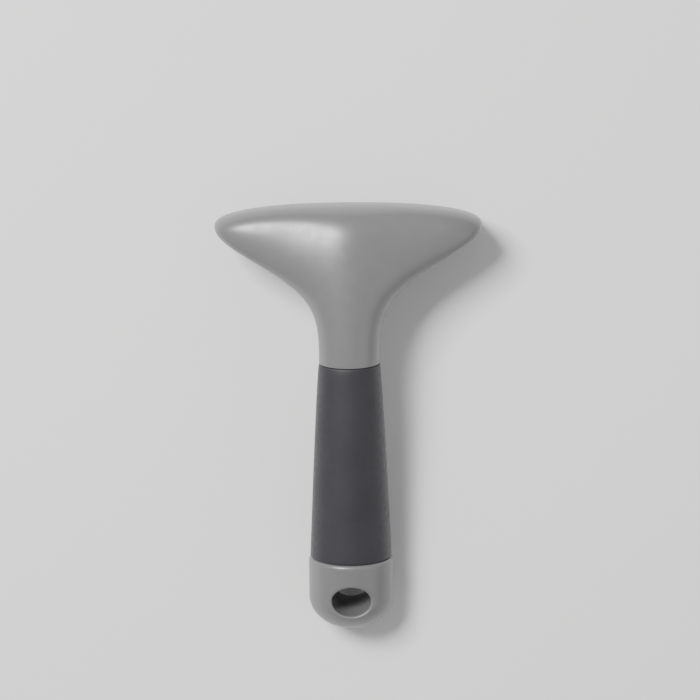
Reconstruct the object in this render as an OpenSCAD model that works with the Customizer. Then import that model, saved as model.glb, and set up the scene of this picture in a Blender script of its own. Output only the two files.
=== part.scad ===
// Deshedding tool for pets: a toothed steel blade held in the mouth of a wide, flared
// head, on a handle with a soft grip, an end cap with a hang hole and a clear blade guard.
//
// Frame: the tool lies on a table. +Z is up, the head is at +Y, the handle runs to -Y and
// X is along the blade. The origin is the centre of the guard's flat underside, in mm.
//
// The plastic body is two half shells that meet on a parting surface through the handle's
// axis. Their screws also clamp the blade. Under the grip the halves step in to a core.

/* [Head] */
// Width of the head across the blade
head_w = 106; // [90:1:130]
// Thickness of the head at its mouth
head_t = 17; // [14:0.5:22]
// Height of the head's mouth above the table
mouth_z = 14; // [12:0.5:20]
// Distance behind the blade where the flare has run out into the neck
flare = 60; // [50:1:70]
// How gently the flare leaves the ends of the head
flare_start = 1.65; // [1.2:0.05:2.4]
// How gently the flare runs into the neck
flare_end = 5.6; // [2:0.1:8]
// How far the shoulders fall below the crown, as a share of the section's half height
crown_drop = 0.29; // [0:0.01:0.35]
// Half width of the crown between its shoulders
crown_w = 16; // [12:0.5:30]
// Squareness of the section at the mouth, where 2 is an ellipse
mouth_power = 2.3; // [2:0.05:3]
// Wall of the head and neck
wall = 2.5; // [1.8:0.1:3.5]

/* [Handle] */
// Distance from the blade back to the tip of the end cap
reach = 162.7; // [130:0.1:190]
// Distance from the blade back to the top of the grip
neck_reach = 54; // [45:1:65]
// Slope of the handle above the table, in degrees
tilt = 10; // [5:0.5:15]
// Half width of the neck
neck_r = 12; // [10:0.05:15]
// Half width of the grip at the neck
grip_top_r = 12.1; // [10:0.05:15]
// Half width of the grip at its lower end
grip_r = 16.35; // [13:0.05:19]
// Roundness of the grip's taper, where 1 is straight
grip_power = 0.8; // [0.5:0.05:1.5]
// Half width of the end cap
cap_r = 16.95; // [13:0.05:20]
// Height of a handle section as a share of its width
flat = 0.87; // [0.7:0.01:1]
// Length of the end cap
cap_len = 30.1; // [22:0.1:40]
// Wall of the grip sleeve
sleeve_wall = 3.2; // [2.4:0.1:3.8]
// Wall of the core under the grip
core_wall = 2.2; // [1.8:0.1:3]

/* [End cap] */
// Length of the rounded end of the cap
cap_nose = 13.4; // [10:0.1:18]
// Width of the hang hole
hole_w = 15.4; // [8:0.1:18]
// Length of the hang hole along the handle
hole_l = 12.3; // [6:0.1:14]
// Distance from the tip of the cap to the hang hole's axis
hole_s = 14.6; // [10:0.1:16]

/* [Blade] */
// Width of the blade
blade_w = 98; // [80:1:120]
// Thickness of the blade
blade_t = 1.5; // [0.8:0.1:2]
// Height of the tooth tips above the table
tip_z = 2.2; // [1.9:0.1:4]
// Height of the blade's top edge above the table
blade_top = 25; // [22:0.5:28]
// Number of teeth
teeth = 54; // [30:1:70]
// Length of a tooth
tooth_l = 5.2; // [3:0.1:8]
// Width of a tooth at its root as a share of the pitch
tooth_share = 0.62; // [0.4:0.01:0.75]

/* [Fasteners] */
// Radius of a screw's shank
screw_r = 1.25; // [1:0.05:2]
// Radius of a screw's head
head_r = 2.7; // [2:0.1:4]
// Height of the head screws above the table
screw_z = 20; // [18:0.1:22]
// Distance from the middle head screw to each outer one
screw_x = 34; // [25:1:40]
// Distance of the front handle screw from the tip of the cap
front_s = 95; // [70:1:100]
// Distance of the rear handle screw from the tip of the cap
rear_s = 46; // [38:1:60]
// Distance of the cap screw from the tip of the cap
cap_screw_s = 25.7; // [23:0.1:27]

/* [Blade guard] */
// Length of the guard
guard_l = 102; // [90:1:124]
// Height of the guard
guard_h = 13; // [8:0.5:13.5]
// Wall of the guard
guard_wall = 1.4; // [0.8:0.1:2]
// Gap between the guard and each face of the blade
guard_gap = 0.4; // [0.3:0.05:1]

/* [Hidden] */
$fn = 64;

part_gap = 0.1;                       // the parting line between the two shells
fit = 0.2;                            // between the core and what slips over it
neck_s = (reach - neck_reach) / cos(tilt);
shoulder = 0.15;                      // length of the step from the core out to the neck
core_end = hole_s + hole_l / 2 + 2.2; // where the core stops inside the cap
tip_y = -reach;
// The cap's rounded end rests on the table.
tip_height = norm([cap_nose * sin(tilt), cap_r * flat * cos(tilt)]) - cap_nose * sin(tilt);
shell_steps = 26;                     // stations from the neck to the mouth
arc_steps = 18;                       // points round half a section

light_grey = [0.55, 0.545, 0.55];
dark_grey = [0.3, 0.295, 0.315];
steel = [0.78, 0.79, 0.8];
clear = [0.85, 0.9, 0.92, 0.45];

// ---- Curves, in the plane of symmetry as [y, z] ----

along = [cos(tilt), sin(tilt)];       // up the handle, from cap to head
across = [-sin(tilt), cos(tilt)];     // out of the handle's top

function on_axis(s) = [tip_y, tip_height] + s * along;

// A point of a Bezier curve through the first and last of its control points.
function bezier(p, t) =
  len(p) == 1 ? p[0]
  : bezier([for (i = [0:len(p) - 2]) p[i] * (1 - t) + p[i + 1] * t], t);

neck = on_axis(neck_s);
neck_top = neck + neck_r * flat * across;
neck_under = neck - neck_r * flat * across;

// The top line runs up the neck, over the crown and down the outer face to the mouth.
top_line = [
  neck_top, neck_top + 22 * along, [-8, 47], [head_t / 2, 44],
  [head_t / 2, 45.5], [head_t / 2, mouth_z]
];
// The under line runs below the neck and turns down the inner face to the mouth.
under_line = [
  neck_under, neck_under + 16 * along, [-20, 25.5], [-head_t / 2 - 1, 28.5],
  [-head_t / 2, 21], [-head_t / 2, mouth_z]
];

// Half width of the grip: a long, slightly rounded taper.
function grip_half(s) =
  grip_top_r + (grip_r - grip_top_r) * pow((neck_s - s) / (neck_s - cap_len), grip_power);

// Half width of the head, from how far behind the blade the section's centre lies.
function head_half(d) =
  neck_r + (head_w / 2 - neck_r)
    * pow(1 - pow(min(max(d / flare, 0), 1), flare_start), flare_end);

// ---- Sections: [centre, normal, half width, half height, power, wall, crown drop] ----

// At the shoulder the neck's wall carries on down to the core's bore.
shoulder_wall = neck_r - (grip_top_r - sleeve_wall - fit - core_wall) + 0.1;

function core_station(s) =
  let (a = grip_half(max(s, cap_len)) - sleeve_wall - fit)
  [on_axis(s), across, a, a * flat, 2, core_wall, 0];

function head_station(t) =
  let (top = bezier(top_line, t), under = bezier(under_line, t),
       mid = (top + under) / 2, b = norm(top - under) / 2)
  [mid, (top - under) / (2 * b), head_half(-mid[0]), b,
   2 + (mouth_power - 2) * t, wall + (shoulder_wall - wall) * max(0, 1 - 8 * t),
   crown_drop * pow(sin(180 * t), 3)];

stations = concat(
  [for (i = [0:1]) core_station(core_end + i * (cap_len - core_end))],
  [for (i = [1:6]) core_station(cap_len + i * (neck_s - shoulder - cap_len) / 6)],
  [for (i = [0:shell_steps]) head_station(i / shell_steps)]
);

function signed_power(v, p) = sign(v) * pow(abs(v), p);

// A point of a half section at angle q, on the side given by +1 (upper) or -1 (lower),
// moved off the parting surface by half the parting gap. The upper side falls away from
// its crown to the shoulders.
function section_point(st, q, side, inset) =
  let (a = st[2] - inset, b = st[3] - inset, p = 2 / st[4],
       x = a * signed_power(cos(q), p),
       rise = (b - part_gap / 2) * signed_power(sin(q), p),
       drop = side > 0 ? st[6] * rise * (1 - exp(-pow(x / crown_w, 2))) : 0,
       yz = st[0] + side * (part_gap / 2 + rise) * st[1])
  [x, yz[0], yz[1] - drop];

// One C-shaped loop: out along the outer arc and back along the inner one.
function section_loop(st, side) = concat(
  [for (i = [0:arc_steps]) section_point(st, 180 * i / arc_steps, side, 0)],
  [for (i = [arc_steps:-1:0]) section_point(st, 180 * i / arc_steps, side, st[5])]
);

// ---- Half shells ----

// Skins the C-shaped loops into one solid, with the two open ends closed by strips.
module half_shell_skin(side) {
  loops = [for (st = stations) section_loop(st, side)];
  n = len(loops[0]);
  rows = len(loops);
  sides = [for (r = [0:rows - 2], i = [0:n - 1])
    let (j = (i + 1) % n, a = r * n, b = (r + 1) * n) [a + i, b + i, b + j, a + j]];
  first = [for (i = [0:arc_steps - 1]) [i, i + 1, n - 2 - i, n - 1 - i]];
  last = [for (f = first) [for (k = [3:-1:0]) f[k] + (rows - 1) * n]];
  faces = concat(sides, first, last);
  polyhedron(
    points = [for (loop = loops, p = loop) p],
    faces = side < 0 ? faces : [for (f = faces) [for (k = [3:-1:0]) f[k]]],
    convexity = 8
  );
}

// Places children in the handle's own frame: +Z up the handle, -Y out of its top.
module in_handle(s) {
  translate([0, on_axis(s)[0], on_axis(s)[1]]) rotate([tilt - 90, 0, 0]) children();
}

// A cylinder along Y, from y0 to y1, on the head screw's axis at x.
module along_y(x, y0, y1, r) {
  translate([x, y1, screw_z]) rotate([90, 0, 0]) cylinder(r = r, h = y1 - y0);
}

// How far from the blade's plane the middle of the head's wall lies at x.
function wall_mid(x) =
  (head_t / 2 - wall / 2) * pow(1 - pow(abs(x) / (head_w / 2 - wall / 2), 2), 0.5);

// The floor of the mouth, with the slot that the blade stands in.
module mouth_floor(side) {
  inset = wall / 2;
  difference() {
    intersection() {
      translate([0, 0, mouth_z + 0.5])
        scale([1, (head_t / 2 - inset) / (head_w / 2 - inset), 1])
          cylinder(r = head_w / 2 - inset, h = 3);
      translate([-head_w / 2, side > 0 ? part_gap / 2 : -head_t, mouth_z])
        cube([head_w, head_t - part_gap / 2, 5]);
    }
    translate([-blade_w / 2 - 0.2, -blade_t / 2 - 0.05, mouth_z])
      cube([blade_w + 0.4, blade_t + 0.1, 5]);
  }
}

screw_xs = [-screw_x, 0, screw_x];
face = blade_t / 2 + 0.05;            // where the bosses press on the blade

module upper_shell() {
  color(light_grey) difference() {
    union() {
      half_shell_skin(1);
      mouth_floor(1);
      for (x = screw_xs) along_y(x, face, wall_mid(x), 3.2);
      for (s = [front_s, rear_s, cap_screw_s])
        in_handle(s) translate([0, -part_gap / 2, 0]) rotate([90, 0, 0])
          cylinder(r = 2.6, h = (grip_half(max(s, cap_len)) - sleeve_wall) * flat - 1);
    }
    for (x = screw_xs) along_y(x, 0, wall_mid(x) - 1, screw_r + 0.05);
    for (s = [front_s, rear_s, cap_screw_s])
      in_handle(s) rotate([90, 0, 0])
        cylinder(r = screw_r + 0.05, h = core_bore(s));
  }
}

// Depth of a handle screw's hole above the parting surface.
function core_bore(s) = (grip_half(max(s, cap_len)) - sleeve_wall) * flat - 2.4;

module lower_shell() {
  color(light_grey) difference() {
    union() {
      half_shell_skin(-1);
      mouth_floor(-1);
      for (x = screw_xs) along_y(x, -wall_mid(x), -face, 3.8);
      for (s = [front_s, rear_s])
        in_handle(s) translate([0, part_gap / 2, 0]) rotate([-90, 0, 0])
          cylinder(r = 3.8, h = (grip_half(s) - sleeve_wall) * flat - 1);
    }
    for (x = screw_xs) {
      along_y(x, -head_t, 0, screw_r + 0.15);
      along_y(x, -head_t, -head_seat(x), head_r + 0.3);
    }
    for (s = [front_s, rear_s, cap_screw_s])
      in_handle(s) rotate([-90, 0, 0]) cylinder(r = screw_r + 0.15, h = 20);
    for (s = [front_s, rear_s])
      in_handle(s) translate([0, handle_seat(s), 0]) rotate([-90, 0, 0])
        cylinder(r = head_r + 0.3, h = 20);
  }
}

// ---- Blade ----

module blade() {
  pitch = blade_w / teeth;
  root = tip_z + tooth_l;
  half_root = pitch * tooth_share / 2;
  half_tip = half_root * 0.5;
  gap_r = pitch / 2 - half_root;      // the gaps between the teeth end in a half round
  shoulder = 11;
  color(steel) difference() {
    rotate([90, 0, 0]) translate([0, 0, -blade_t / 2]) linear_extrude(blade_t) polygon(concat(
      [[blade_w / 2 - shoulder, blade_top], [-blade_w / 2 + shoulder, blade_top]],
      [for (q = [15:15:90]) [
        -blade_w / 2 + shoulder * (1 - sin(q)), blade_top - shoulder * (1 - cos(q))]],
      [[-blade_w / 2, root]],
      [for (k = [0:teeth - 1]) let (x = -blade_w / 2 + (k + 0.5) * pitch) each concat(
        [for (q = [60:-30:0]) [
          x - pitch / 2 + gap_r * cos(q), root - gap_r * (1 - sin(q))]],
        [[x - half_tip, tip_z + 0.3], [x - half_tip * 0.7, tip_z + 0.08],
         [x - half_tip * 0.25, tip_z], [x + half_tip * 0.25, tip_z],
         [x + half_tip * 0.7, tip_z + 0.08], [x + half_tip, tip_z + 0.3]],
        [for (q = [0:30:90]) [
          x + pitch / 2 - gap_r * cos(q), root - gap_r * (1 - sin(q))]])],
      [for (q = [90:-15:15]) [
        blade_w / 2 - shoulder * (1 - sin(q)), blade_top - shoulder * (1 - cos(q))]]
    ));
    for (x = screw_xs) along_y(x, -2, 2, screw_r + 0.2);
    // The teeth are ground thin from both faces.
    for (m = [0, 1]) mirror([0, m, 0]) translate([0, blade_t / 2, root + 2.4])
      rotate([-4, 0, 0]) translate([-blade_w / 2 - 1, 0, -12]) cube([blade_w + 2, 2, 12]);
  }
}

// ---- Screws ----

// A pan-head screw with a cross recess. The head's seat is at z = 0, the shank points up.
module screw(shank) {
  difference() {
    union() {
      rotate_extrude() polygon([
        [0, -1.9], [1.5, -1.85], [2.1, -1.65], [2.5, -1.25], [head_r, -0.7],
        [head_r, 0], [0, 0]]);
      cylinder(r = screw_r, h = shank - 1.2);
      translate([0, 0, shank - 1.2]) cylinder(r1 = screw_r, r2 = 0.4, h = 1.2);
    }
    for (q = [0, 90]) rotate(q) translate([-1.35, -0.3, -2]) cube([2.7, 0.6, 1.2]);
  }
}

// Distance from the blade's plane to the seat of a head screw.
function head_seat(x) = wall_mid(x) - 1.9;
// Distance below the handle's axis to the seat of a handle screw.
function handle_seat(s) = (grip_half(s) - sleeve_wall) * flat - 3;
cap_seat = cap_r * flat - 2.3;

module head_screw(x) {
  color(steel) translate([x, -head_seat(x), screw_z]) rotate([-90, 0, 0])
    screw(head_seat(x) + wall_mid(x) - 1.4);
}

module handle_screw(s) {
  color(steel) in_handle(s) translate([0, handle_seat(s), 0]) rotate([90, 0, 0])
    screw(handle_seat(s) + core_bore(s) - 0.4);
}

module head_screw_left() { head_screw(-screw_x); }
module head_screw_middle() { head_screw(0); }
module head_screw_right() { head_screw(screw_x); }
module handle_screw_front() { handle_screw(front_s); }
module handle_screw_rear() { handle_screw(rear_s); }

module cap_screw() {
  color(steel) in_handle(cap_screw_s) translate([0, cap_seat, 0]) rotate([90, 0, 0])
    screw(cap_seat + core_bore(cap_screw_s) - 0.4);
}

// ---- Grip and end cap, turned to a profile and flattened to the handle's section ----

module flattened() { in_handle(0) scale([1, flat, 1]) children(); }

module grip_sleeve() {
  steps = 12;
  s0 = cap_len + 0.05;
  s1 = neck_s - shoulder - 0.05;
  edge = 0.6;
  color(dark_grey) flattened() rotate_extrude($fn = 160) polygon(concat(
    [[grip_half(s0) - edge, s0]],
    [for (i = [0:steps]) let (s = s0 + edge + i * (s1 - s0 - 2 * edge) / steps)
      [grip_half(s), s]],
    [[grip_half(s1) - edge, s1]],
    [for (i = [steps:-1:0]) let (s = s0 + i * (s1 - s0) / steps)
      [grip_half(s) - sleeve_wall, s]]
  ));
}

module end_cap() {
  steps = 12;
  bore_r = grip_r - sleeve_wall;
  lip = 0.7;
  color(light_grey) difference() {
    flattened() rotate_extrude($fn = 160) polygon(concat(
      [for (i = [0:steps]) let (q = 90 * i / steps)
        [cap_r * sin(q), cap_nose * (1 - cos(q))]],
      [[cap_r, cap_len - lip], [cap_r - lip, cap_len], [bore_r, cap_len],
       [bore_r, core_end - 0.3], [0, core_end - 0.3]]
    ));
    in_handle(hole_s) rotate([90, 0, 0]) scale([1, hole_l / hole_w, 1])
      cylinder(r = hole_w / 2, h = 60, center = true);
    in_handle(cap_screw_s) rotate([-90, 0, 0]) {
      cylinder(r = screw_r + 0.15, h = 30);
      translate([0, 0, cap_seat]) cylinder(r = head_r + 0.3, h = 20);
    }
  }
}

// ---- Blade guard: a clear channel that slips over the teeth from the end ----

module blade_guard() {
  slot = blade_t + 2 * guard_gap;
  outer = slot + 2 * guard_wall;
  floor_t = 1.4;
  edge = 0.5;                         // chamfers under the floor and inside the lips
  color(clear) translate([-guard_l / 2, 0, 0]) rotate([90, 0, 90])
    linear_extrude(guard_l) polygon([
      [-outer / 2 + edge, 0], [outer / 2 - edge, 0], [outer / 2, edge],
      [outer / 2, guard_h], [slot / 2 + edge, guard_h], [slot / 2, guard_h - edge],
      [slot / 2, floor_t], [-slot / 2, floor_t], [-slot / 2, guard_h - edge],
      [-slot / 2 - edge, guard_h], [-outer / 2, guard_h], [-outer / 2, edge]]);
}

upper_shell();
lower_shell();
blade();
head_screw_left();
head_screw_middle();
head_screw_right();
handle_screw_front();
handle_screw_rear();
grip_sleeve();
end_cap();
cap_screw();
blade_guard();
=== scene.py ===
"""Looks of the deshedding tool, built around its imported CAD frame.

Shapes are worked out in millimetres, with the same curves as the CAD part, and turned to
metres where a mesh is made. A section of the handle is an ellipse FLAT times as high as it
is wide; the head's section grows from that ellipse to a long lens at the blade.
"""

import math

import bmesh
import bpy
import numpy as np
from mathutils import Matrix, Vector


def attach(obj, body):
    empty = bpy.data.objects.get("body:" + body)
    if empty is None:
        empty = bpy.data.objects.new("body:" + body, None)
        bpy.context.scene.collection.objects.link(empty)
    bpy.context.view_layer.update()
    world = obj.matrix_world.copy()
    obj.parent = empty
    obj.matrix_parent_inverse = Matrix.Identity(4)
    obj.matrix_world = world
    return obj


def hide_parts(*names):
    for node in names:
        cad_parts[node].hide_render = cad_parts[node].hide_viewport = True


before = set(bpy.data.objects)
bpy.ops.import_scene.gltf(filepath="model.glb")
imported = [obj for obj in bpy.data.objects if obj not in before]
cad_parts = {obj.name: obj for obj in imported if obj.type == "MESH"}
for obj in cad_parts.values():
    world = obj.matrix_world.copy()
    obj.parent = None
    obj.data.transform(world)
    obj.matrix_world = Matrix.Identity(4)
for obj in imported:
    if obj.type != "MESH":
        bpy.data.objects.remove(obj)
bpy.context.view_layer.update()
scene = bpy.context.scene
MM = 0.001

# ---- Sizes in mm, as in the CAD part ----

# Head: the mouth that holds the blade, and the flare and crown that run back to the neck
HEAD_W = 106.0
HEAD_T = 17.0
MOUTH_Z = 14.0
MOUTH_POWER = 2.3
FLARE = 60.0
FLARE_START = 1.65
FLARE_END = 5.6
CROWN_DROP = 0.29
CROWN_W = 16.0

# Handle: how far behind the blade its ends lie, its tilt and its half widths
REACH = 162.7
NECK_REACH = 54.0
TILT = math.radians(10)
FLAT = 0.87
NECK_R = 12.0
GRIP_TOP_R = 12.1
GRIP_R = 16.35
GRIP_POWER = 0.8

# End cap and its hang hole; places with S in their names are measured from the cap's tip
CAP_R = 16.95
CAP_LEN = 30.1
NOSE = 13.4
HOLE_W = 15.4
HOLE_L = 12.3
HOLE_S = 14.6

# Walls
WALL = 2.5
CORE_WALL = 2.2
SLEEVE_WALL = 3.2

# Blade and screws
BLADE_W = 98.0
BLADE_T = 1.5
SCREW_R = 1.25
SCREW_HEAD_R = 2.7
SCREW_Z = 20.0
SCREW_XS = (-34.0, 0.0, 34.0)
CAP_SCREW_S = 25.7
SEAT_DEPTH = 1.9
CAP_SEAT_DEPTH = 2.3
UPPER_BOSS_R = 3.2
LOWER_BOSS_R = 3.8

# Gaps, and the length of the step up from the core to the neck
FIT = 0.2
PART_GAP = 0.1
SHOULDER = 0.15
SLOT_GAP = 0.05
SHANK_GAP = 0.15
HEAD_GAP = 0.3
BORE_GAP = 0.3
HOLE_TO_CORE = 2.2

NECK_S = (REACH - NECK_REACH) / math.cos(TILT)
CORE_END = HOLE_S + HOLE_L / 2 + HOLE_TO_CORE
SHOULDER_WALL = NECK_R - (GRIP_TOP_R - SLEEVE_WALL - FIT - CORE_WALL) + 0.1
ALONG = np.array([math.cos(TILT), math.sin(TILT)])
ACROSS = np.array([-math.sin(TILT), math.cos(TILT)])
# The cap's nose, an ellipse NOSE by CAP_R * FLAT that leans by TILT, touches the table.
TIP = np.array([
    -REACH,
    math.hypot(NOSE * math.sin(TILT), CAP_R * FLAT * math.cos(TILT)) - NOSE * math.sin(TILT),
])


# ---- Camera, light and floor ----

def add_camera():
    """Down on the tool's back, leaning 5 degrees beyond the head and rolled by half a degree."""
    data = bpy.data.cameras.new("camera")
    data.sensor_width = 36
    data.lens = 158
    data.clip_start, data.clip_end = 0.05, 20
    camera = bpy.data.objects.new("camera", data)
    target = Matrix.Translation((0.0003, -0.0502, 0.02))
    lean = Matrix.Rotation(math.radians(-5), 4, "X")
    roll = Matrix.Rotation(math.radians(-0.5), 4, "Z")
    distance = Matrix.Translation((0, 0, 1.225))
    camera.matrix_world = target @ lean @ roll @ distance
    scene.collection.objects.link(camera)
    scene.camera = camera


def add_light(name, place, aim, size, watts, colour=(1, 1, 1)):
    """A square softbox."""
    data = bpy.data.lights.new(name, "AREA")
    data.size = size
    data.energy = watts
    data.color = colour
    light = bpy.data.objects.new(name, data)
    light.location = place
    light.rotation_euler = (Vector(aim) - Vector(place)).to_track_quat("-Z", "Y").to_euler()
    scene.collection.objects.link(light)


def add_studio():
    """A pale room, a key light beyond the head's left end and a weak fill on the right."""
    world = bpy.data.worlds.new("studio")
    scene.world = world
    world.use_nodes = True
    background = world.node_tree.nodes["Background"]
    background.inputs["Color"].default_value = (1, 1, 1, 1)
    background.inputs["Strength"].default_value = 0.4
    middle = (0, -0.05, 0.02)
    add_light("key", (-0.626, 0.555, 1.362), middle, size=0.52, watts=39,
              colour=(1, 0.995, 0.985))
    add_light("fill", (1.1, -0.5, 0.9), middle, size=0.9, watts=1.6)


# ---- Materials ----

def new_material(name, **sockets):
    """A Principled material; constants go straight on the shader's own sockets."""
    material = bpy.data.materials.new(name)
    material.use_nodes = True
    shader = material.node_tree.nodes["Principled BSDF"]
    for socket, value in sockets.items():
        shader.inputs[socket.replace("_", " ")].default_value = value
    return material, material.node_tree, shader


def object_noise(tree, scale, detail=2.0, stretch=(1, 1, 1), roughness=0.5):
    """Noise in the object's own space: scale is features per metre."""
    coords = tree.nodes.new("ShaderNodeTexCoord")
    mapping = tree.nodes.new("ShaderNodeMapping")
    mapping.inputs["Scale"].default_value = stretch
    noise = tree.nodes.new("ShaderNodeTexNoise")
    noise.inputs["Scale"].default_value = scale
    noise.inputs["Detail"].default_value = detail
    noise.inputs["Roughness"].default_value = roughness
    tree.links.new(coords.outputs["Object"], mapping.inputs["Vector"])
    tree.links.new(mapping.outputs["Vector"], noise.inputs["Vector"])
    return noise.outputs["Fac"]


def ramp(tree, noise, low=0, high=1):
    """Spreads the middle of a noise's values over the range from low to high."""
    node = tree.nodes.new("ShaderNodeMapRange")
    node.inputs["From Min"].default_value = 0.3
    node.inputs["From Max"].default_value = 0.7
    node.inputs["To Min"].default_value = low
    node.inputs["To Max"].default_value = high
    tree.links.new(noise, node.inputs["Value"])
    return node.outputs["Result"]


def set_colour(tree, shader, noise, dark, light):
    """The base colour wanders between two tones with the noise."""
    share = ramp(tree, noise)
    node = tree.nodes.new("ShaderNodeMix")
    node.data_type = "RGBA"
    node.inputs["A"].default_value = (*dark, 1)
    node.inputs["B"].default_value = (*light, 1)
    tree.links.new(share, node.inputs["Factor"])
    tree.links.new(node.outputs["Result"], shader.inputs["Base Color"])


def set_roughness(tree, shader, noise, low, high):
    """The roughness wanders from low to high with the noise."""
    tree.links.new(ramp(tree, noise, low, high), shader.inputs["Roughness"])


def add_bump(tree, shader, layers):
    """Stacks bumps: each layer is (height, strength, distance in mm)."""
    normal = None
    for height, strength, distance in layers:
        bump = tree.nodes.new("ShaderNodeBump")
        bump.inputs["Strength"].default_value = strength
        bump.inputs["Distance"].default_value = distance * MM
        tree.links.new(height, bump.inputs["Height"])
        if normal:
            tree.links.new(normal, bump.inputs["Normal"])
        normal = bump.outputs["Normal"]
    tree.links.new(normal, shader.inputs["Normal"])


def make_body_plastic():
    """Grey ABS: satin, with a fine spark-eroded grain and faint flow mottling."""
    material, tree, shader = new_material("body_plastic", IOR=1.52, Specular_IOR_Level=0.7)
    set_colour(tree, shader, object_noise(tree, 60, 3),
               dark=(0.150, 0.147, 0.151), light=(0.163, 0.159, 0.163))
    set_roughness(tree, shader, object_noise(tree, 240, 4), 0.31, 0.37)
    add_bump(tree, shader, [(object_noise(tree, 4200, 2), 0.04, 0.02),
                            (object_noise(tree, 90, 2), 0.1, 0.06)])
    return material


def make_grip_rubber():
    """Dark grey thermoplastic rubber: matte, with a soft sheen at grazing angles."""
    material, tree, shader = new_material(
        "grip_rubber", IOR=1.48, Sheen_Weight=0.14, Sheen_Roughness=0.45,
        Sheen_Tint=(0.8, 0.78, 0.85, 1))
    set_colour(tree, shader, object_noise(tree, 75, 4),
               dark=(0.0235, 0.022, 0.027), light=(0.029, 0.027, 0.0325))
    set_roughness(tree, shader, object_noise(tree, 500, 4), 0.5, 0.62)
    add_bump(tree, shader, [(object_noise(tree, 3200, 3), 0.12, 0.03),
                            (object_noise(tree, 130, 2), 0.1, 0.08)])
    return material


def make_blade_steel():
    """Stainless strip, brushed along its length."""
    material, tree, shader = new_material("blade_steel", Metallic=1.0)
    grain = object_noise(tree, 2600, 4, stretch=(0.03, 1, 1), roughness=0.7)
    set_colour(tree, shader, grain, dark=(0.5, 0.5, 0.51), light=(0.66, 0.66, 0.67))
    set_roughness(tree, shader, grain, 0.24, 0.4)
    add_bump(tree, shader, [(grain, 0.25, 0.02)])
    return material


def make_screw_steel():
    """Zinc-plated steel with a slightly uneven shine."""
    material, tree, shader = new_material("screw_steel", Metallic=1.0)
    patch = object_noise(tree, 900, 4)
    set_colour(tree, shader, patch, dark=(0.52, 0.53, 0.54), light=(0.64, 0.64, 0.63))
    set_roughness(tree, shader, patch, 0.22, 0.36)
    add_bump(tree, shader, [(object_noise(tree, 3500, 3), 0.15, 0.02)])
    return material


def make_clear_plastic():
    """Clear flexible PVC with faint extrusion lines along it."""
    material, tree, shader = new_material(
        "clear_plastic", IOR=1.5, Transmission_Weight=1.0, Base_Color=(0.94, 0.97, 0.98, 1))
    lines = object_noise(tree, 700, 3, stretch=(0.01, 1, 1))
    set_roughness(tree, shader, lines, 0.06, 0.16)
    add_bump(tree, shader, [(lines, 0.15, 0.04)])
    return material


def make_floor():
    """A plain matt floor, just below the table plane that the tool rests on."""
    material, tree, shader = new_material("floor", Roughness=0.9)
    set_colour(tree, shader, object_noise(tree, 3, 2),
               dark=(0.895, 0.895, 0.895), light=(0.905, 0.905, 0.905))
    mesh = bpy.data.meshes.new("floor")
    mesh.from_pydata([(-4, -4, 0), (4, -4, 0), (4, 4, 0), (-4, 4, 0)], [], [(0, 1, 2, 3)])
    floor = bpy.data.objects.new("floor", mesh)
    floor.location = (0, 0, -0.0002)
    mesh.materials.append(material)
    scene.collection.objects.link(floor)


# ---- Curves and sections ----

def on_axis(s):
    """The handle's axis, s mm from the tip of the cap, as (y, z)."""
    return TIP + s * ALONG


def bezier(points, t):
    """The point at t, from 0 to 1, of the Bezier curve with these control points."""
    points = [np.asarray(p, float) for p in points]
    while len(points) > 1:
        points = [a * (1 - t) + b * t for a, b in zip(points, points[1:])]
    return points[0]


NECK = on_axis(NECK_S)
NECK_TOP = NECK + NECK_R * FLAT * ACROSS
NECK_UNDER = NECK - NECK_R * FLAT * ACROSS
# The top line runs up the neck, over the crown and down the outer face to the mouth.
TOP_LINE = [NECK_TOP, NECK_TOP + 22 * ALONG, (-8, 47), (HEAD_T / 2, 44),
            (HEAD_T / 2, 45.5), (HEAD_T / 2, MOUTH_Z)]
# The under line runs below the neck and turns down the inner face to the mouth.
UNDER_LINE = [NECK_UNDER, NECK_UNDER + 16 * ALONG, (-20, 25.5), (-HEAD_T / 2 - 1, 28.5),
              (-HEAD_T / 2, 21), (-HEAD_T / 2, MOUTH_Z)]


def grip_half(s):
    """Half width of the grip: a long, slightly rounded taper."""
    share = max(NECK_S - s, 0) / (NECK_S - CAP_LEN)
    return GRIP_TOP_R + (GRIP_R - GRIP_TOP_R) * share ** GRIP_POWER


def head_half(d):
    """Half width of the head, from how far behind the blade the section's centre lies."""
    share = min(max(d / FLARE, 0), 1)
    return NECK_R + (HEAD_W / 2 - NECK_R) * (1 - share ** FLARE_START) ** FLARE_END


def core_station(s):
    """(centre, normal, half width, half height, power, wall, crown drop) under the grip."""
    a = grip_half(max(s, CAP_LEN)) - SLEEVE_WALL - FIT
    return on_axis(s), ACROSS, a, a * FLAT, 2.0, CORE_WALL, 0.0


def head_station(t):
    """The same for the head, from the neck at t = 0 to the mouth at t = 1."""
    top, under = bezier(TOP_LINE, t), bezier(UNDER_LINE, t)
    b = np.linalg.norm(top - under) / 2
    middle = (top + under) / 2
    # The neck's thicker wall thins down to the head's over the first eighth of the way.
    wall = WALL + (SHOULDER_WALL - WALL) * max(0, 1 - 8 * t)
    return (middle, (top - under) / (2 * b), head_half(-middle[0]), b,
            2 + (MOUTH_POWER - 2) * t, wall, CROWN_DROP * math.sin(math.pi * t) ** 3)


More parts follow.
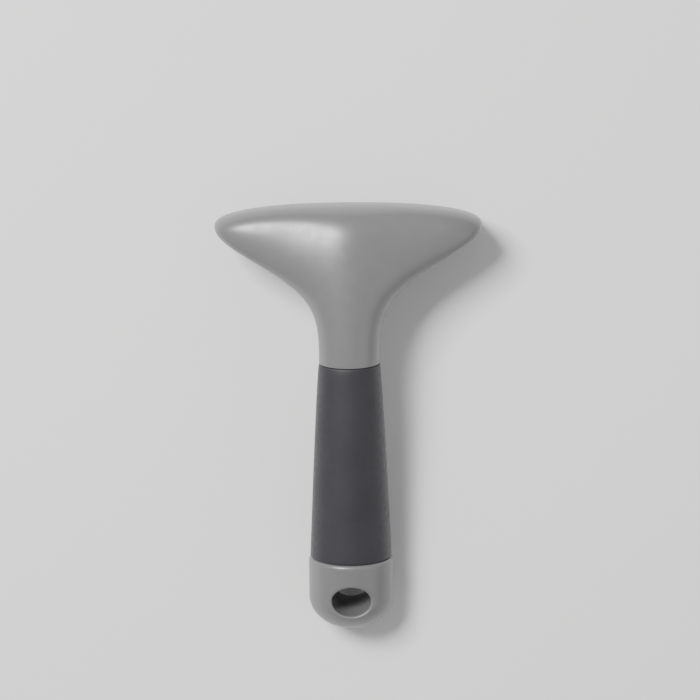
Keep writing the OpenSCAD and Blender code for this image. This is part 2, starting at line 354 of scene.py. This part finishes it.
def half_section(station, side, inset, steps):
    """Half of a section as (steps + 1, 3) points; side is +1 above the parting line, -1 below.

    The upper side falls away from its crown to the shoulders.
    """
    centre, normal, a, b, power, _, crown_drop = station
    a, b = a - inset, b - inset
    q = np.linspace(0, math.pi, steps + 1)
    c, s = np.cos(q), np.clip(np.sin(q), 0, 1)
    x = a * np.sign(c) * np.abs(c) ** (2 / power)
    rise = (b - PART_GAP / 2) * s ** (2 / power)
    rise[[0, -1]] = 0
    v = side * (PART_GAP / 2 + rise)
    drop = crown_drop * rise * (1 - np.exp(-(x / CROWN_W) ** 2)) if side > 0 else 0
    return np.column_stack([x, centre[0] + v * normal[0], centre[1] + v * normal[1] - drop])


# ---- Mesh helpers ----

def make_object(name, points, faces):
    """A smooth-shaded mesh object from points in mm, with its faces turned outwards."""
    mesh = bpy.data.meshes.new(name)
    mesh.from_pydata((np.asarray(points) * MM).tolist(), [], [tuple(map(int, f)) for f in faces])
    bm = bmesh.new()
    bm.from_mesh(mesh)
    bmesh.ops.recalc_face_normals(bm, faces=bm.faces)
    bm.to_mesh(mesh)
    bm.free()
    mesh.shade_smooth()
    obj = bpy.data.objects.new(name, mesh)
    scene.collection.objects.link(obj)
    return obj


def apply_modifiers(obj):
    """Turns the object's modifiers into its mesh."""
    depsgraph = bpy.context.evaluated_depsgraph_get()
    mesh = bpy.data.meshes.new_from_object(obj.evaluated_get(depsgraph))
    obj.modifiers.clear()
    obj.data = mesh


def combine(obj, others, operation):
    """Boolean of obj with other closed meshes, which are used up."""
    for other in others:
        modifier = obj.modifiers.new("boolean", "BOOLEAN")
        modifier.operation = operation
        modifier.solver = "EXACT"
        modifier.object = other
    apply_modifiers(obj)
    for other in others:
        bpy.data.objects.remove(other)


def bevel(obj, width, segments, angle):
    """Rounds the edges that are sharper than the angle, by width mm."""
    modifier = obj.modifiers.new("bevel", "BEVEL")
    modifier.width = width * MM
    modifier.segments = segments
    modifier.limit_method = "ANGLE"
    modifier.angle_limit = math.radians(angle)


def smooth_by_angle(mesh, degrees):
    """Smooth shading, with edges sharper than the angle kept crisp."""
    mesh.shade_smooth()
    mesh.set_sharp_from_angle(angle=math.radians(degrees))


def smooth_max(a, b, k):
    """The larger of two fields, with the edge between them rounded over k mm."""
    h = np.clip(0.5 + 0.5 * (a - b) / k, 0, 1)
    return b * (1 - h) + a * h + k * h * (1 - h)


def surface_net(field, low, high, step):
    """Closed quad mesh of the surface where field(x, y, z) is zero; it is negative inside.

    Each grid cell that the surface passes through gets one point, the mean of the crossings
    on its edges, and each crossed edge gets a quad between the four cells round it.
    """
    axes = [np.arange(a, b + step, step) for a, b in zip(low, high)]
    values = field(*np.meshgrid(*axes, indexing="ij"))
    total = np.zeros((*values.shape, 3))
    count = np.zeros(values.shape)
    quads = []
    for axis in range(3):
        first = np.take(values, range(values.shape[axis] - 1), axis)
        second = np.take(values, range(1, values.shape[axis]), axis)
        index = np.argwhere((first < 0) != (second < 0))
        f0, f1 = first[tuple(index.T)], second[tuple(index.T)]
        crossing = index.astype(float)
        crossing[:, axis] += f0 / (f0 - f1)
        cells = []
        for d1, d2 in ((0, 0), (1, 0), (1, 1), (0, 1)):
            cell = index.copy()
            cell[:, (axis + 1) % 3] -= d1
            cell[:, (axis + 2) % 3] -= d2
            np.add.at(total, tuple(cell.T), crossing)
            np.add.at(count, tuple(cell.T), 1)
            cells.append(cell)
        quads.append(np.stack(cells, 1))
    active = count > 0
    number = np.cumsum(active).reshape(active.shape) - 1
    points = total[active] / count[active][:, None] * step + np.asarray(low)
    faces = np.concatenate([number[tuple(np.moveaxis(q, 2, 0))] for q in quads])
    for _ in range(3):
        points = points - newton_step(field, points)
    return points, faces


def newton_step(field, points, e=0.01):
    """The move that takes points on to the field's zero surface.

    The least squared gradient keeps the move short where the field is nearly flat.
    """
    least = 0.05
    gradient = np.stack([
        field(*(points + d).T) - field(*(points - d).T)
        for d in np.eye(3) * e], 1) / (2 * e)
    value = field(*points.T)
    return gradient * (value / np.maximum((gradient ** 2).sum(1), least))[:, None]


def from_handle(points):
    """From the handle's frame (x, up from the axis, s along it) to the model's frame."""
    x, v, s = np.asarray(points).T
    y, z = TIP[:, None] + np.outer(ALONG, s) + np.outer(ACROSS, v)
    return np.column_stack([x, y, z])


# ---- Half shells ----

def shell_stations():
    """Sections from the core's end under the cap, up the handle and round to the mouth."""
    core = [core_station(s) for s in
            [CORE_END, CAP_LEN, *np.linspace(CAP_LEN, NECK_S - SHOULDER, 14)[1:]]]
    return core + [head_station(t) for t in np.linspace(0, 1, 97)]


def half_shell_skin(name, side, steps=72):
    """C-shaped loops, out along the outer arc and back along the inner one, skinned closed."""
    loops = [np.vstack([half_section(station, side, 0, steps),
                        half_section(station, side, station[5], steps)[::-1]])
             for station in shell_stations()]
    n, rows = len(loops[0]), len(loops)
    faces = [(r * n + i, (r + 1) * n + i, (r + 1) * n + (i + 1) % n, r * n + (i + 1) % n)
             for r in range(rows - 1) for i in range(n)]
    ends = [(i, i + 1, n - 2 - i, n - 1 - i) for i in range(steps)]
    faces += ends + [tuple(k + (rows - 1) * n for k in end) for end in ends]
    obj = make_object(name, np.vstack(loops), faces)
    bevel(obj, width=0.16, segments=3, angle=50)
    apply_modifiers(obj)
    return obj


def wall_mid(x):
    """How far from the blade's plane the middle of the head's wall lies at x."""
    return (HEAD_T / 2 - WALL / 2) * math.sqrt(1 - (abs(x) / (HEAD_W / 2 - WALL / 2)) ** 2)


def mouth_floor(side, recess=0.5, thickness=3, steps=72):
    """Half of the floor that closes the mouth round the blade."""
    a, b = HEAD_W / 2 - WALL / 2, HEAD_T / 2 - WALL / 2
    near, slot = PART_GAP / 2, BLADE_T / 2 + SLOT_GAP
    q = np.linspace(0, math.pi, steps + 1)
    outline = [(a * math.cos(u), max(b * math.sin(u), near)) for u in q]
    slot_half = BLADE_W / 2 + FIT
    outline += [(-slot_half, near), (-slot_half, slot), (slot_half, slot), (slot_half, near)]
    low = MOUTH_Z + recess
    points = [(x, side * y, z) for z in (low, low + thickness) for x, y in outline]
    n = len(outline)
    faces = [tuple(range(n)), tuple(range(2 * n - 1, n - 1, -1))]
    faces += [(i, (i + 1) % n, n + (i + 1) % n, n + i) for i in range(n)]
    return make_object("mouth_floor", points, faces)


def rod_along_y(x, y0, y1, radius, around=48):
    """A boss or a hole along Y on a head screw's axis."""
    turn = np.linspace(0, 2 * math.pi, around, endpoint=False)
    points = [(x + radius * math.cos(a), y, SCREW_Z - radius * math.sin(a))
              for y in (y0, y1) for a in turn]
    points += [(x, y0, SCREW_Z), (x, y1, SCREW_Z)]
    ring = [(i, (i + 1) % around) for i in range(around)]
    faces = [(i, j, around + j, around + i) for i, j in ring]
    faces += [(i, j, 2 * around) for i, j in ring]
    faces += [(around + i, around + j, 2 * around + 1) for i, j in ring]
    return make_object("rod", points, faces)


def make_shell(name, side):
    """A half shell with its mouth floor and bosses; the lower one has the screws' holes."""
    shell = half_shell_skin(name, side)
    blade_face = BLADE_T / 2 + SLOT_GAP
    boss_r = UPPER_BOSS_R if side > 0 else LOWER_BOSS_R
    added = [mouth_floor(side)]
    for x in SCREW_XS:
        ends = sorted((side * blade_face, side * wall_mid(x)))
        added.append(rod_along_y(x, *ends, boss_r))
    combine(shell, added, "UNION")
    if side < 0:
        cuts = []
        for x in SCREW_XS:
            cuts.append(rod_along_y(x, -HEAD_T, 0, SCREW_R + SHANK_GAP))
            cuts.append(rod_along_y(x, -HEAD_T, SEAT_DEPTH - wall_mid(x), SCREW_HEAD_R + HEAD_GAP))
        combine(shell, cuts, "DIFFERENCE")
    smooth_by_angle(shell.data, 35)
    return shell


# ---- Grip and cap ----

def make_sleeve(around=128, rows=90, end_r=0.9, seam=0.05):
    """The rubber sleeve, with softly rounded ends, a hair clear of the cap and the neck."""
    s0, s1 = CAP_LEN + seam, NECK_S - SHOULDER - seam
    arc = np.radians(np.linspace(0, 90, 6))
    rounding = list(zip(end_r * (1 - np.sin(arc)), end_r * (1 - np.cos(arc))))
    profile = [(grip_half(s0) - inwards, s0 + along) for inwards, along in rounding]
    profile += [(grip_half(s), s) for s in np.linspace(s0 + end_r, s1 - end_r, rows)[1:-1]]
    profile += [(grip_half(s1) - inwards, s1 - along) for inwards, along in rounding[::-1]]
    profile += [(grip_half(s) - SLEEVE_WALL, s) for s in np.linspace(s1, s0, 20)]
    turn = np.linspace(0, 2 * math.pi, around, endpoint=False)
    points = [(radius * math.cos(a), radius * FLAT * math.sin(a), s)
              for radius, s in profile for a in turn]
    n = len(profile)
    faces = [(k * around + i, k * around + (i + 1) % around,
              (k + 1) % n * around + (i + 1) % around, (k + 1) % n * around + i)
             for k in range(n) for i in range(around)]
    sleeve = make_object("sleeve", from_handle(points), faces)
    smooth_by_angle(sleeve.data, 50)
    return sleeve


def cap_field(x, v, s, lip=1.8, hole_lip=1.5, seat_lip=0.5):
    """The end cap as a field: a rounded elliptical plug, less its hang hole, bore and screw.

    An ellipse's field in x is scaled by the mean of 1 and FLAT, to be near a true distance.
    """
    mean_scale = 0.93
    r = np.hypot(x, v / FLAT)
    nose = np.hypot(r / CAP_R, np.minimum(s - NOSE, 0) / NOSE)
    body = smooth_max((nose - 1) * CAP_R * mean_scale, s - CAP_LEN, lip)
    hole = 1 - np.hypot(x / (HOLE_W / 2), (s - HOLE_S) / (HOLE_L / 2))
    body = smooth_max(body, hole * (HOLE_W + HOLE_L) / 4, hole_lip)
    bore = np.maximum((r - (GRIP_R - SLEEVE_WALL)) * mean_scale, CORE_END - BORE_GAP - s)
    body = np.maximum(body, -bore)
    off_screw = np.hypot(x, s - CAP_SCREW_S)
    seat = CAP_R * FLAT - CAP_SEAT_DEPTH
    head = np.maximum(off_screw - SCREW_HEAD_R - HEAD_GAP, v + seat)
    shank = np.maximum(off_screw - SCREW_R - SHANK_GAP, v)
    return np.maximum(smooth_max(body, -head, seat_lip), -shank)


def make_cap():
    """The end cap, netted on a fine grid that reaches a little past it on every side."""
    low, high = (-18, -15.8, -1.2), (18, 15.8, CAP_LEN + 1.2)
    points, faces = surface_net(cap_field, low, high, step=0.36)
    cap = make_object("cap", from_handle(points), faces)
    smooth_by_angle(cap.data, 50)
    return cap


# ---- Assembly ----

def dress(obj, material, slot, *nodes):
    """Gives a new piece its material and its body, and hides the CAD nodes it stands for."""
    obj.data.materials.clear()
    obj.data.materials.append(material)
    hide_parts(*nodes)
    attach(obj, "tool")


def dress_cad(node, material, width):
    """Gives a carried-over CAD node its material and fine edge rounding, width mm wide."""
    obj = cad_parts[node]
    obj.data.materials.clear()
    obj.data.materials.append(material)
    weld = obj.modifiers.new("weld", "WELD")
    weld.merge_threshold = 1e-6
    bevel(obj, width, segments=2, angle=30)


add_camera()
add_studio()
make_floor()

body_plastic = make_body_plastic()
grip_rubber = make_grip_rubber()
blade_steel = make_blade_steel()
screw_steel = make_screw_steel()
clear_plastic = make_clear_plastic()

dress(make_shell("shell_top", 1), body_plastic, "body_plastic", "upper_shell")
dress(make_shell("shell_bottom", -1), body_plastic, "body_plastic", "lower_shell")
dress(make_sleeve(), grip_rubber, "grip_rubber", "grip_sleeve")
dress(make_cap(), body_plastic, "body_plastic", "end_cap")
dress_cad("blade", blade_steel, 0.06)
dress_cad("blade_guard", clear_plastic, 0.25)
for screw in ("head_screw_left", "head_screw_middle", "head_screw_right",
              "handle_screw_front", "handle_screw_rear", "cap_screw"):
    dress_cad(screw, screw_steel, 0.08)
